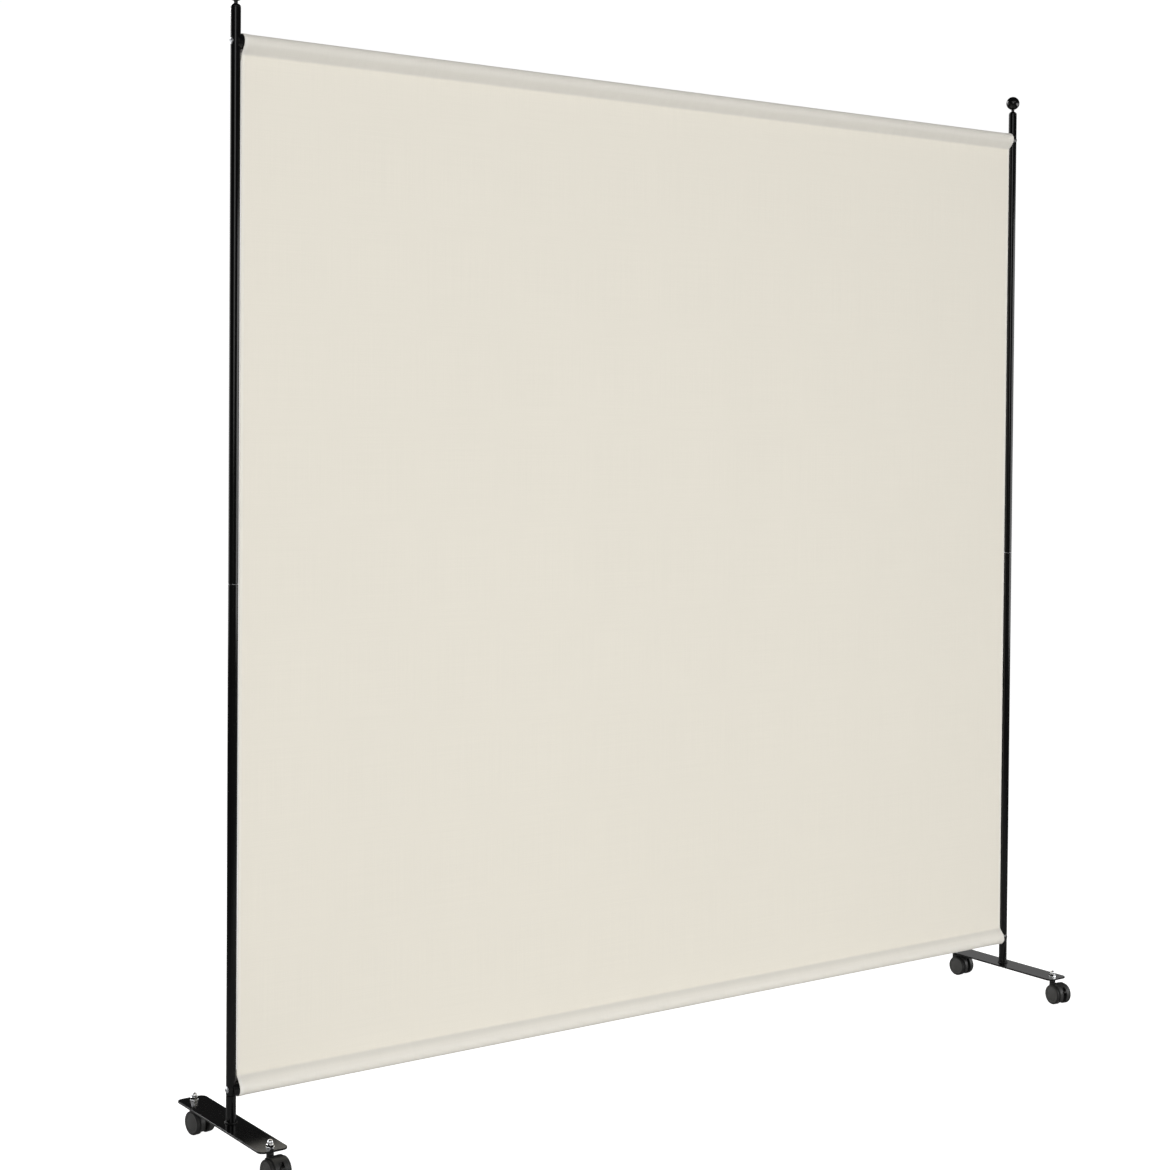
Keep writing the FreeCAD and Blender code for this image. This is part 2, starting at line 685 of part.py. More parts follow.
def build_frame():
    """Everything that stands still: plates, posts, rails, cloth and fasteners."""
    nodes = {}
    bolts = []
    inserts = []
    for hand, side in (("left", -1), ("right", 1)):
        nodes[hand + "_base_plate"] = at_post(base_plate(), side)
        nodes[hand + "_base_socket"] = at_post(base_socket(), side)
        nodes[hand + "_lower_post"] = at_post(lower_post(), side)
        nodes[hand + "_upper_post"] = at_post(upper_post(), side)
        nodes[hand + "_finial"] = at_post(finial(), side)
        for level, z in (("top", upper_rail_z), ("bottom", lower_rail_z)):
            nodes[f"{level}_rail_{hand}"] = at_post(rail_half(side > 0), side, z)
            nodes[f"{level}_{hand}_saddle"] = at_post(saddle(), side, z)
            bolts.append(at_post(rail_bolt(), side, z))
            inserts.append(at_post(rail_insert(), side, z))
    nodes["rail_bolts"] = Part.Compound(bolts)
    nodes["rail_inserts"] = Part.Compound(inserts)
    nodes["cloth_panel"] = cloth_panel()
    return nodes


def build_casters():
    """Stems, nuts and washers on the plates, and the swivelling casters below them."""
    nodes = {}
    nuts = []
    washers = []
    for name, (side, end, turn) in casters.items():
        x = side * post_spacing / 2
        y = end * stem_spacing / 2
        nuts.append(moved(cap_nut(), x, y))
        washers.append(moved(washer(), x, y))
        nodes[name + "_caster_stem"] = moved(caster_stem(), x, y)
        pieces = {"_caster_hood": caster_hood(name in braked_casters), "_caster_axle": wheel_axle()}
        for place, hand in (("left", -1), ("right", 1)):
            pieces[f"_{place}_wheel"] = wheel(hand)
            pieces[f"_{place}_wheel_cover"] = wheel_cover(hand)
        if name in braked_casters:
            pieces["_brake_lever"] = brake_lever()
            pieces["_brake_pin"] = brake_pin()
        for piece_name, piece in pieces.items():
            nodes[name + piece_name] = moved(piece, x, y, turn=turn)
    nodes["cap_nuts"] = Part.Compound(nuts)
    nodes["washers"] = Part.Compound(washers)
    return nodes


def main():
    os.makedirs("parts", exist_ok=True)
    nodes = build_frame()
    nodes.update(build_casters())
    for name, shape in nodes.items():
        solids = shape.Solids
        volume = sum(solid.Volume for solid in solids)
        print(f"{name}: {len(solids)} solid(s), {volume / 1000:.2f} cm3, valid {shape.isValid()}")
        shape.exportStep(f"parts/{name}.step")


main()
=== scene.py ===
import json
import math

import bpy
import numpy as np
from mathutils import Matrix, Vector


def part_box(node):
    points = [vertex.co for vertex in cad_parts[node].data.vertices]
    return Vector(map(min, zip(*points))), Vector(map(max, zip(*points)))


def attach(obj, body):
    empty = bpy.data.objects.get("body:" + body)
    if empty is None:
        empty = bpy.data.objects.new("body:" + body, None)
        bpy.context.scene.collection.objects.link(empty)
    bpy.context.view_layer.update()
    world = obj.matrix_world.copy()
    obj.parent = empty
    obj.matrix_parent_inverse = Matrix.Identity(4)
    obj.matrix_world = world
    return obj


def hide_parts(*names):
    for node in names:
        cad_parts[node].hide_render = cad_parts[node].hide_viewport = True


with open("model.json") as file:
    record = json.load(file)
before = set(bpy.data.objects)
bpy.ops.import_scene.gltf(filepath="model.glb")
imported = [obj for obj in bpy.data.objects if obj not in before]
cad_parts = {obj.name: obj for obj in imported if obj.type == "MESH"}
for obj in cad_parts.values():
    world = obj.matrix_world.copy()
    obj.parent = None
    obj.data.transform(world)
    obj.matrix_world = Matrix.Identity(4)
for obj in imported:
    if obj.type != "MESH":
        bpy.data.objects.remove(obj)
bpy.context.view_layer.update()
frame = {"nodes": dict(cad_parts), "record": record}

bl_info = {
    "name": "Rolling Room Divider",
    "version": (1, 0, 0),
    "blender": (4, 5, 0),
    "location": "3D View > Sidebar > Divider",
    "description": "Sews the cloth, turns the finials and finishes every piece of a rolling room divider",
    "category": "Object",
}


# Places taken from the frame

def middle(node):
    low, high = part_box(node)
    return (low + high) / 2


def half_size(node):
    low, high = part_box(node)
    return (high - low) / 2


CLOTH_LOW, CLOTH_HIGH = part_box("cloth_panel")
UPPER_RAIL_Z = middle("top_rail_left").z
LOWER_RAIL_Z = middle("bottom_rail_left").z
POST_RADIUS = half_size("left_upper_post").y
POST_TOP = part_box("left_upper_post")[1].z
BALL_RADIUS = half_size("left_finial").y
BALL_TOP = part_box("left_finial")[1].z


# Settings that a user would change

class ClothSettings(bpy.types.PropertyGroup):
    colour: bpy.props.FloatVectorProperty(
        name="Cloth Colour", description="Beige of the woven cloth", subtype="COLOR",
        default=(0.79, 0.752, 0.662), min=0, max=1)
    thread_colour: bpy.props.FloatVectorProperty(
        name="Thread Colour", description="Sewing thread, a little lighter than the cloth", subtype="COLOR",
        default=(0.82, 0.785, 0.70), min=0, max=1)
    thickness: bpy.props.FloatProperty(
        name="Thickness", description="One layer of cloth", unit="LENGTH", default=0.0006)
    seam_rise: bpy.props.FloatProperty(
        name="Seam Rise", description="Rail axis to the sleeve's seam", unit="LENGTH", default=0.020)
    seam_overlap: bpy.props.FloatProperty(
        name="Seam Overlap", description="Cloth behind the panel past the seam", unit="LENGTH", default=0.009)
    hem_width: bpy.props.FloatProperty(
        name="Hem Width", description="Side edge folded to the back", unit="LENGTH", default=0.006)
    sleeve_flare: bpy.props.FloatProperty(
        name="Sleeve Flare", description="How much a sleeve widens over the saddles", unit="LENGTH",
        default=0.0006)
    slack: bpy.props.FloatProperty(
        name="Slack", description="Depth of the soft upright waves in the panel", unit="LENGTH",
        default=0.0012)
    pucker: bpy.props.FloatProperty(
        name="Pucker", description="Depth of the small waves along a seam", unit="LENGTH", default=0.0003)
    yarn_pitch: bpy.props.FloatProperty(
        name="Yarn Pitch", description="Between two yarns of the weave", unit="LENGTH", default=0.0006)
    stitch_pitch: bpy.props.FloatProperty(
        name="Stitch Pitch", description="Between two stitches", unit="LENGTH", default=0.0032)
    stitch_length: bpy.props.FloatProperty(
        name="Stitch Length", description="Visible length of a stitch", unit="LENGTH", default=0.0026)
    thread_diameter: bpy.props.FloatProperty(
        name="Thread Diameter", description="Sewing thread", unit="LENGTH", default=0.00045)


class FinialSettings(bpy.types.PropertyGroup):
    neck_radius: bpy.props.FloatProperty(
        name="Neck Radius", description="Thinnest place below the ball", unit="LENGTH", default=0.0033)
    shoulder_height: bpy.props.FloatProperty(
        name="Shoulder Height", description="Rounded cone between the post and the neck", unit="LENGTH",
        default=0.0056)
    segments: bpy.props.IntProperty(
        name="Segments", description="Faces around a finial", default=64, min=24)


class WeldSettings(bpy.types.PropertyGroup):
    width: bpy.props.FloatProperty(
        name="Bead Width", description="Across the sloped face of the weld", unit="LENGTH", default=0.0032)
    height: bpy.props.FloatProperty(
        name="Bead Height", description="How far the ripples stand proud", unit="LENGTH", default=0.0009)
    ripples: bpy.props.IntProperty(
        name="Ripples", description="Overlapping ripples around one socket", default=44, min=12)


class JointSettings(bpy.types.PropertyGroup):
    rim_radius: bpy.props.FloatProperty(
        name="Rim Radius", description="Rounded end of the upper post's tube", unit="LENGTH", default=0.0004)
    segments: bpy.props.IntProperty(
        name="Segments", description="Steps around a rim", default=64, min=24)


class FinishSettings(bpy.types.PropertyGroup):
    steel: bpy.props.FloatVectorProperty(
        name="Powder Coat", description="Gloss black coat on tubes and plates", subtype="COLOR",
        default=(0.0026, 0.0026, 0.0027), min=0, max=1)
    plastic: bpy.props.FloatVectorProperty(
        name="Black Plastic", description="Finials and saddles", subtype="COLOR",
        default=(0.0024, 0.0024, 0.0025), min=0, max=1)
    caster: bpy.props.FloatVectorProperty(
        name="Caster Plastic", description="Hoods and brake levers", subtype="COLOR",
        default=(0.020, 0.020, 0.0195), min=0, max=1)
    tread: bpy.props.FloatVectorProperty(
        name="Wheel Tread", description="Moulded wheels", subtype="COLOR",
        default=(0.017, 0.017, 0.0168), min=0, max=1)
    cover: bpy.props.FloatVectorProperty(
        name="Wheel Cover", description="Cover discs of the wheels", subtype="COLOR",
        default=(0.062, 0.062, 0.060), min=0, max=1)
    zinc: bpy.props.FloatVectorProperty(
        name="Zinc Plate", description="Bolts, stems and pins", subtype="COLOR",
        default=(0.66, 0.67, 0.69), min=0, max=1)
    chrome: bpy.props.FloatVectorProperty(
        name="Chrome Plate", description="Cap nuts and washers", subtype="COLOR",
        default=(0.88, 0.89, 0.90), min=0, max=1)


class StageSettings(bpy.types.PropertyGroup):
    camera_place: bpy.props.FloatVectorProperty(
        name="Camera", description="Where the camera stands", subtype="XYZ", unit="LENGTH",
        default=(-2.3109, -2.9459, 1.1448))
    camera_yaw: bpy.props.FloatProperty(
        name="Yaw", description="Turned to the right of straight ahead", unit="ROTATION",
        default=math.radians(35.785))
    camera_pitch: bpy.props.FloatProperty(
        name="Pitch", description="Tilted up from level", unit="ROTATION", default=math.radians(-1.151))
    camera_roll: bpy.props.FloatProperty(
        name="Roll", description="Turned about the line of sight", unit="ROTATION",
        default=math.radians(0.451))
    lens: bpy.props.FloatProperty(
        name="Lens", description="Focal length in millimetres on a 36 mm sensor", default=63.515)
    shift: bpy.props.FloatVectorProperty(
        name="Shift", description="Camera shift across and up", size=2, default=(-0.00448, -0.09708))
    floor_colour: bpy.props.FloatVectorProperty(
        name="Floor", description="Pale studio floor", subtype="COLOR", default=(0.52, 0.52, 0.52),
        min=0, max=1)
    floor_radius: bpy.props.FloatProperty(
        name="Floor Radius", description="Where the floor has faded into the background", unit="LENGTH",
        default=2.6)


# Small helpers

def deselect_all():
    if bpy.context.object is not None and bpy.context.object.mode != "OBJECT":
        bpy.ops.object.mode_set(mode="OBJECT")
    bpy.ops.object.select_all(action="DESELECT")


def name_piece(name):
    """Name the object that an add operator has just made, and its mesh."""
    piece = bpy.context.object
    piece.name = name
    piece.data.name = name
    return piece


def select_only(piece):
    deselect_all()
    piece.select_set(True)
    bpy.context.view_layer.objects.active = piece


def edit_all():
    """Start edit mode with everything selected."""
    bpy.ops.object.mode_set(mode="EDIT")
    bpy.ops.mesh.select_all(action="SELECT")


def close_edit():
    """End edit mode with every face turned outwards."""
    bpy.ops.mesh.select_all(action="SELECT")
    bpy.ops.mesh.normals_make_consistent(inside=False)
    bpy.ops.object.mode_set(mode="OBJECT")


def apply_place(piece):
    select_only(piece)
    bpy.ops.object.transform_apply(location=True, rotation=True, scale=True)


def apply_modifiers(piece):
    select_only(piece)
    for modifier in list(piece.modifiers):
        bpy.ops.object.modifier_apply(modifier=modifier.name)


def copy_piece(piece, name, offset):
    """A copy with its own mesh, moved by an offset."""
    copy = piece.copy()
    copy.data = piece.data.copy()
    copy.name = name
    copy.data.name = name
    bpy.context.scene.collection.objects.link(copy)
    copy.data.transform(Matrix.Translation(offset))
    return copy


def copy_to_right(piece, name, node):
    """A copy moved from the left to the right side, as far as the two sides' nodes are apart."""
    return copy_piece(piece, name, Vector((middle("right_" + node).x - middle("left_" + node).x, 0, 0)))


def read_points(piece):
    points = np.zeros(len(piece.data.vertices) * 3)
    piece.data.vertices.foreach_get("co", points)
    return points.reshape(-1, 3)


def write_points(piece, points):
    piece.data.vertices.foreach_set("co", points.astype(np.float32).ravel())
    piece.data.update()


def ease(value, start, end):
    """Smooth rise from 0 at start to 1 at end."""
    share = np.clip((value - start) / (end - start), 0, 1)
    return share * share * (3 - 2 * share)


# Node helpers

class Tree:
    """Short way to add and link shader nodes."""

    def __init__(self, tree):
        self.tree = tree

    def add(self, kind, **values):
        """Add a node. Words set its options, and `inputs` sets or links its sockets by name or place."""
        inputs = values.pop("inputs", {})
        node = self.tree.nodes.new(kind)
        for key, value in values.items():
            setattr(node, key, value)
        for key, value in inputs.items():
            self.put(node.inputs[key], value)
        return node

    def put(self, socket, value):
        if isinstance(value, bpy.types.NodeSocket):
            self.tree.links.new(value, socket)
        else:
            socket.default_value = value

    def maths(self, operation, first, second=0.0):
        return self.add("ShaderNodeMath", operation=operation, inputs={0: first, 1: second}).outputs[0]

    def noise(self, vector, scale, detail=2.0):
        node = self.add("ShaderNodeTexNoise", inputs={"Vector": vector, "Scale": scale, "Detail": detail})
        return node.outputs["Fac"]

    def factor(self, value, start, end, last):
        """Goes from 1 at start to last at end."""
        return self.add("ShaderNodeMapRange", inputs={
            "Value": value, "From Min": start, "From Max": end, "To Min": 1.0, "To Max": last}).outputs[0]

    def scaled(self, vector, scale):
        return self.add("ShaderNodeMapping", inputs={"Vector": vector, "Scale": scale}).outputs[0]


def new_group(name, inputs, outputs):
    """A shader node group with named sockets, as (group, tree, input sockets, output node)."""
    group = bpy.data.node_groups.new(name, "ShaderNodeTree")
    for label, kind, value in inputs:
        socket = group.interface.new_socket(label, in_out="INPUT", socket_type=kind)
        if value is not None:
            socket.default_value = value
    for label, kind in outputs:
        group.interface.new_socket(label, in_out="OUTPUT", socket_type=kind)
    tree = Tree(group)
    return group, tree, tree.add("NodeGroupInput").outputs, tree.add("NodeGroupOutput")


def group_named(name, build):
    return bpy.data.node_groups.get(name) or build(name)


def build_surface_group(name):
    """Colour, roughness and height of a coated, moulded or plated surface: fine peel over broad mottling."""
    group, tree, given, out = new_group(
        name,
        [
            ("Vector", "NodeSocketVector", None), ("Colour", "NodeSocketColor", None),
            ("Colour Spread", "NodeSocketFloat", 0.2), ("Roughness", "NodeSocketFloat", 0.3),
            ("Roughness Spread", "NodeSocketFloat", 0.05), ("Peel Scale", "NodeSocketFloat", 600.0),
            ("Mottle Scale", "NodeSocketFloat", 14.0),
        ],
        [("Colour", "NodeSocketColor"), ("Roughness", "NodeSocketFloat"), ("Height", "NodeSocketFloat")],
    )
    peel = tree.noise(given["Vector"], given["Peel Scale"], 3.0)
    mottle = tree.noise(given["Vector"], given["Mottle Scale"], 5.0)
    swing = tree.maths("SUBTRACT", mottle, 0.5)
    value = tree.maths("ADD", tree.maths("MULTIPLY", swing, given["Colour Spread"]), 1.0)
    tinted = tree.add("ShaderNodeHueSaturation", inputs={"Value": value, "Color": given["Colour"]})
    both = tree.maths("ADD", swing, tree.maths("SUBTRACT", peel, 0.5))
    rough = tree.maths("ADD", tree.maths("MULTIPLY", both, given["Roughness Spread"]), given["Roughness"])
    tree.put(out.inputs["Colour"], tinted.outputs[0])
    tree.put(out.inputs["Roughness"], rough)
    tree.put(out.inputs["Height"], peel)
    return group


YARN_SLUBS = (900.0, 6.0)  # noise scale across and along a yarn
BROAD_MOTTLE = 2.6
CROSSING_SPREAD = 0.02


def build_weave_group(name):
    """Plain weave on a map in metres: yarns over and under, uneven yarns and a faint broad mottling."""
    group, tree, given, out = new_group(
        name,
        [
            ("Vector", "NodeSocketVector", None), ("Colour", "NodeSocketColor", None),
            ("Yarn Pitch", "NodeSocketFloat", 0.0006), ("Yarn Spread", "NodeSocketFloat", 0.05),
            ("Mottle Spread", "NodeSocketFloat", 0.02),
        ],
        [("Colour", "NodeSocketColor"), ("Height", "NodeSocketFloat")],
    )
    turns = tree.maths("DIVIDE", math.pi, given["Yarn Pitch"])
    parts = tree.add("ShaderNodeSeparateXYZ", inputs={0: given["Vector"]}).outputs
    across = tree.maths("SINE", tree.maths("MULTIPLY", parts[0], turns))
    along = tree.maths("SINE", tree.maths("MULTIPLY", parts[1], turns))
    crossing = tree.maths("MULTIPLY", across, along)
    warp = tree.noise(tree.scaled(given["Vector"], (*YARN_SLUBS, 1.0)), 1.0, 2.0)
    weft = tree.noise(tree.scaled(given["Vector"], (*YARN_SLUBS[::-1], 1.0)), 1.0, 2.0)
    yarns = tree.maths("SUBTRACT", tree.maths("ADD", warp, weft), 1.0)
    broad = tree.maths("SUBTRACT", tree.noise(given["Vector"], BROAD_MOTTLE, 4.0), 0.5)
    shade = tree.maths("ADD", tree.maths("MULTIPLY", yarns, given["Yarn Spread"]), 1.0)
    shade = tree.maths("ADD", shade, tree.maths("MULTIPLY", broad, given["Mottle Spread"]))
    shade = tree.maths("ADD", shade, tree.maths("MULTIPLY", crossing, CROSSING_SPREAD))
    tinted = tree.add("ShaderNodeHueSaturation", inputs={"Value": shade, "Color": given["Colour"]})
    tree.put(out.inputs["Colour"], tinted.outputs[0])
    tree.put(out.inputs["Height"], tree.maths("ADD", crossing, yarns))
    return group


def new_material(name):
    """A material with an empty Principled shader, as (material, tree, shader)."""
    material = bpy.data.materials.new(name)
    material.use_nodes = True
    material.node_tree.nodes.clear()
    tree = Tree(material.node_tree)
    shader = tree.add("ShaderNodeBsdfPrincipled")
    tree.add("ShaderNodeOutputMaterial", inputs={"Surface": shader.outputs[0]})
    return material, tree, shader


def surface_material(name, colour, roughness, look):
    """A coated, moulded or plated finish. look holds the texture's values and the shader's own constants."""
    material, tree, shader = new_material(name)
    place = tree.add("ShaderNodeTexCoord").outputs["Object"]
    if "stretch" in look:
        place = tree.scaled(place, look["stretch"])
    group = tree.add("ShaderNodeGroup", node_tree=group_named("surface_texture", build_surface_group))
    tree.put(group.inputs["Vector"], place)
    tree.put(group.inputs["Colour"], (*colour, 1))
    tree.put(group.inputs["Roughness"], roughness)
    for label, value in look["texture"].items():
        tree.put(group.inputs[label], value)
    bump = tree.add("ShaderNodeBump", inputs={
        "Strength": look["bump"], "Distance": look["depth"], "Height": group.outputs["Height"]})
    tree.put(shader.inputs["Base Color"], group.outputs["Colour"])
    tree.put(shader.inputs["Roughness"], group.outputs["Roughness"])
    tree.put(shader.inputs["Normal"], bump.outputs[0])
    for label, value in look.get("shader", {}).items():
        tree.put(shader.inputs[label], value)
    return material


# Painted shade on the upper (-1) and lower (1) sleeve, drawn darker and greyer: shade of the round part and
# of the wall beside the seam
SLEEVE_PAINTED_SHADES = {-1: (0.90, 0.885), 1: (0.985, 0.88)}
SLEEVE_SATURATION = 0.76
SEAM_BLEND = (-0.001, 0.003)  # past the seam, in metres
ROUND_BLEND_SHARES = (0.4, 0.9)  # of the wall, where its shade goes over into the round part's
# Painted light: the hems, where the cloth lies double, are drawn lighter and greyer
HEM_PAINTED_LIGHT = 1.035
HEM_SATURATION = 0.8
HEM_BLEND = 0.0004  # to each side of the hem's edge, in metres
WEAVE_BUMP = {"Strength": 0.35, "Distance": 0.00012}
CLOTH_SHADER = {"Roughness": 0.9, "Specular IOR Level": 0.25, "Sheen Weight": 0.12, "Sheen Roughness": 0.5}


def cloth_material(settings, flat):
    """Woven cloth, greyer on its hems and sleeves, with the hems drawn lighter as painted light and the
    sleeves drawn darker as painted shade.
    """
    width, length = flat
    cut = ClothCut(settings)
    material, tree, shader = new_material("woven_cloth")
    place = tree.add("ShaderNodeUVMap", uv_map="cut").outputs[0]
    across, along = tree.add("ShaderNodeSeparateXYZ", inputs={0: place}).outputs[:2]
    edge = tree.maths("MINIMUM", across, tree.maths("SUBTRACT", width, across))
    # Painted light along both hems
    hem_edge = (2 * cut.hem + HEM_BLEND, 2 * cut.hem - HEM_BLEND)
    shade = tree.factor(edge, *hem_edge, HEM_PAINTED_LIGHT)
    saturation = tree.factor(edge, *hem_edge, HEM_SATURATION)
    # Painted shade: each sleeve's wall beside the seam and its round part are drawn darker and greyer
    for seam, way in ((cut.loop, -1), (length - cut.loop, 1)):
        past = tree.maths("MULTIPLY", tree.maths("SUBTRACT", along, seam), way)
        sleeve, wall = SLEEVE_PAINTED_SHADES[way]
        wall_painted_shade = tree.factor(past, *SEAM_BLEND, wall)
        round_painted_shade = tree.factor(past, *(share * cut.wall for share in ROUND_BLEND_SHARES), sleeve / wall)
        greyed = tree.factor(past, *SEAM_BLEND, SLEEVE_SATURATION)
        shade = tree.maths("MULTIPLY", shade, tree.maths("MULTIPLY", wall_painted_shade, round_painted_shade))
        saturation = tree.maths("MULTIPLY", saturation, greyed)
    colour = tree.add("ShaderNodeHueSaturation", inputs={
        "Saturation": saturation, "Value": shade, "Color": (*settings.colour, 1)})
    group = tree.add("ShaderNodeGroup", node_tree=group_named("plain_weave", build_weave_group))
    tree.put(group.inputs["Vector"], place)
    tree.put(group.inputs["Colour"], colour.outputs[0])
    tree.put(group.inputs["Yarn Pitch"], settings.yarn_pitch)
    bump = tree.add("ShaderNodeBump", inputs={**WEAVE_BUMP, "Height": group.outputs["Height"]})
    tree.put(shader.inputs["Base Color"], group.outputs["Colour"])
    tree.put(shader.inputs["Normal"], bump.outputs[0])
    for label, value in CLOTH_SHADER.items():
        tree.put(shader.inputs[label], value)
    return material


FINISHES = {
    "black_steel": ("steel", 0.14, {
        "texture": {"Colour Spread": 0.5, "Roughness Spread": 0.04, "Peel Scale": 300, "Mottle Scale": 9},
        "bump": 0.03, "depth": 0.0003, "shader": {"Specular IOR Level": 0.36}}),
    "black_plastic": ("plastic", 0.2, {
        "texture": {"Colour Spread": 0.4, "Roughness Spread": 0.06, "Peel Scale": 900, "Mottle Scale": 30},
        "bump": 0.08, "depth": 0.0002, "shader": {"Specular IOR Level": 0.5}}),
    "caster_plastic": ("caster", 0.42, {
        "texture": {"Colour Spread": 0.3, "Roughness Spread": 0.1, "Peel Scale": 1500, "Mottle Scale": 40},
        "bump": 0.3, "depth": 0.0002, "shader": {"Specular IOR Level": 0.5}}),
    "wheel_tread": ("tread", 0.5, {
        "stretch": (1.0, 0.08, 0.08),
        "texture": {"Colour Spread": 0.4, "Roughness Spread": 0.12, "Peel Scale": 1300, "Mottle Scale": 60},
        "bump": 0.35, "depth": 0.0002, "shader": {"Specular IOR Level": 0.4}}),
    "wheel_cover": ("cover", 0.38, {
        "texture": {"Colour Spread": 0.3, "Roughness Spread": 0.1, "Peel Scale": 1700, "Mottle Scale": 45},
        "bump": 0.25, "depth": 0.0002, "shader": {"Specular IOR Level": 0.5}}),
    "zinc_steel": ("zinc", 0.28, {
        "texture": {"Colour Spread": 0.35, "Roughness Spread": 0.15, "Peel Scale": 800, "Mottle Scale": 120},
        "bump": 0.1, "depth": 0.0001, "shader": {"Metallic": 1.0}}),
    "bright_plating": ("chrome", 0.1, {
        "texture": {"Colour Spread": 0.12, "Roughness Spread": 0.08, "Peel Scale": 700, "Mottle Scale": 90},
        "bump": 0.03, "depth": 0.0001, "shader": {"Metallic": 1.0}}),
}


def finish_material(settings, slot):
    """The material of one of the record's slots, made on first use."""
    colour, roughness, look = FINISHES[slot]
    return bpy.data.materials.get(slot + "_finish") or surface_material(
        slot + "_finish", getattr(settings, colour), roughness, look)


def give_material(piece, material):
    piece.data.materials.clear()
    piece.data.materials.append(material)


# The cloth's shape, in metres

LAYER_SHARE = 1.15  # distance between two layers of cloth, in thicknesses
PATH_STEP = 0.0005
ROUND_POINTS = 61
SOFT_REACH = 6
# Share of the slack, wave length, start, and drift for each metre of height
PANEL_WAVES = ((0.50, 0.61, 0.4, 0.0), (0.32, 0.29, 1.9, 0.8), (0.18, 0.163, 0.7, -0.6))
WAVES_FROM_SEAM = (0.012, 0.30)  # where the waves start and where they are full
PUCKER_LENGTH = 0.031
PUCKER_REACH = 0.014
PUCKER_DRIFT = 1.7  # makes the puckers uneven
PUCKER_DRIFT_LENGTH = 0.173
FOLD_POINTS = 7
HEM_POINTS = 4
PANEL_COLUMNS = 285
PANEL_ROWS = 44
SLEEVE_ROWS = 46
CLOSE_ROWS_PAST_SEAM = 0.016
FLARE_FROM_EDGE = (0.004, 0.016)  # where the flare fades, from a side edge inwards
FLARE_FROM_SEAM = 0.012  # where the flare is full, round a sleeve from its seam
STACK_PAST_HEM = (0.004, 0.018)  # where the overlap comes back from lying on the hem
STACK_PAST_OVERLAP = (-0.001, 0.008)
CLOTH_CREASE = math.radians(50)


class ClothCut:
    """Where each point of the flat cloth lies once it is sewn and stretched between the rails."""

    def __init__(self, settings):
        self.layer = settings.thickness * LAYER_SHARE
        self.hem = settings.hem_width
        self.overlap = settings.seam_overlap
        self.slack = settings.slack
        self.pucker = settings.pucker
        self.flare = settings.sleeve_flare
        self.left, self.right = CLOTH_LOW.x, CLOTH_HIGH.x
        self.radius = CLOTH_HIGH.y - settings.thickness / 2
        self.upper_seam = UPPER_RAIL_Z - settings.seam_rise
        self.lower_seam = LOWER_RAIL_Z + settings.seam_rise
        self.slope = math.asin(self.radius / settings.seam_rise)
        self.wall = settings.seam_rise * math.cos(self.slope)
        self.loop = self.overlap + 2 * self.wall + self.radius * (math.pi + 2 * self.slope)

    def path(self):
        """The cloth's line in the upright plane across the rails, as evenly spaced (y, z) points."""
        over = np.linspace(-self.slope, math.pi + self.slope, ROUND_POINTS)
        under = over + math.pi
        corners = [(self.layer, self.upper_seam - self.overlap), (self.layer, self.upper_seam)]
        corners += [(self.radius * math.cos(a), UPPER_RAIL_Z + self.radius * math.sin(a)) for a in over]
        corners += [(0, self.upper_seam), (0, self.lower_seam)]
        corners += [(self.radius * math.cos(a), LOWER_RAIL_Z + self.radius * math.sin(a)) for a in under]
        corners += [(self.layer, self.lower_seam), (self.layer, self.lower_seam + self.overlap)]
        corners = np.array(corners)
        runs = np.concatenate([[0], np.cumsum(np.linalg.norm(np.diff(corners, axis=0), axis=1))])
        stations = np.arange(0, runs[-1], PATH_STEP)
        line = np.stack([np.interp(stations, runs, corners[:, i]) for i in (0, 1)], axis=1)
        reach = SOFT_REACH
        kernel = np.hanning(2 * reach + 3)[1:-1]
        kernel /= kernel.sum()
        padded = np.concatenate([np.repeat(line[:1], reach, 0), line, np.repeat(line[-1:], reach, 0)])
        soft = np.stack([np.convolve(padded[:, i], kernel, mode="valid") for i in (0, 1)], axis=1)
        soft[:reach], soft[-reach:] = line[:reach], line[-reach:]
        return stations, soft

    def seam_distance(self, z):
        """Distance of a height inside the panel from the nearer seam, below zero within the sleeves."""
        return np.minimum(self.upper_seam - z, z - self.lower_seam)

    def waves(self, x, z):
        """How far the stretched panel swings to the front or the back at a place."""
        inside = self.seam_distance(z)
        turns = 2 * math.pi * x
        upright = sum(
            share * np.sin(turns / length + start + drift * z) for share, length, start, drift in PANEL_WAVES)
        small = np.sin(turns / PUCKER_LENGTH + PUCKER_DRIFT * np.sin(turns / PUCKER_DRIFT_LENGTH))
        return (self.slack * upright * ease(inside, *WAVES_FROM_SEAM)
                + self.pucker * small * np.exp(-(inside / PUCKER_REACH) ** 2))

    def columns(self):
        """Across the cloth: share of the width, offset along X, and depth behind the face, hems included."""
        bend = self.layer / 2
        turn = np.linspace(math.pi / 2, -math.pi / 2, FOLD_POINTS)
        hem = np.linspace(self.hem, bend, HEM_POINTS)[:-1]
        offset = np.concatenate([hem, bend * (1 - np.cos(turn))])
        depth = np.concatenate([np.full(len(hem), self.layer), bend * (1 + np.sin(turn))])
        share = np.linspace(0, 1, PANEL_COLUMNS)[1:-1]
        return (
            np.concatenate([np.zeros(len(offset)), share, np.ones(len(offset))]),
            np.concatenate([offset, bend * (1 - 2 * share), -offset[::-1]]),
            np.concatenate([depth, np.zeros(len(share)), depth[::-1]]),
        )

    def rows(self, length):
        """Stations along the cloth: close together in the sleeves and further apart in the panel."""
        end = self.loop + CLOSE_ROWS_PAST_SEAM
        close = np.linspace(0, end, SLEEVE_ROWS)
        panel = np.linspace(end, length - end, PANEL_ROWS)[1:-1]
        return np.concatenate([close, panel, length - close[::-1]])


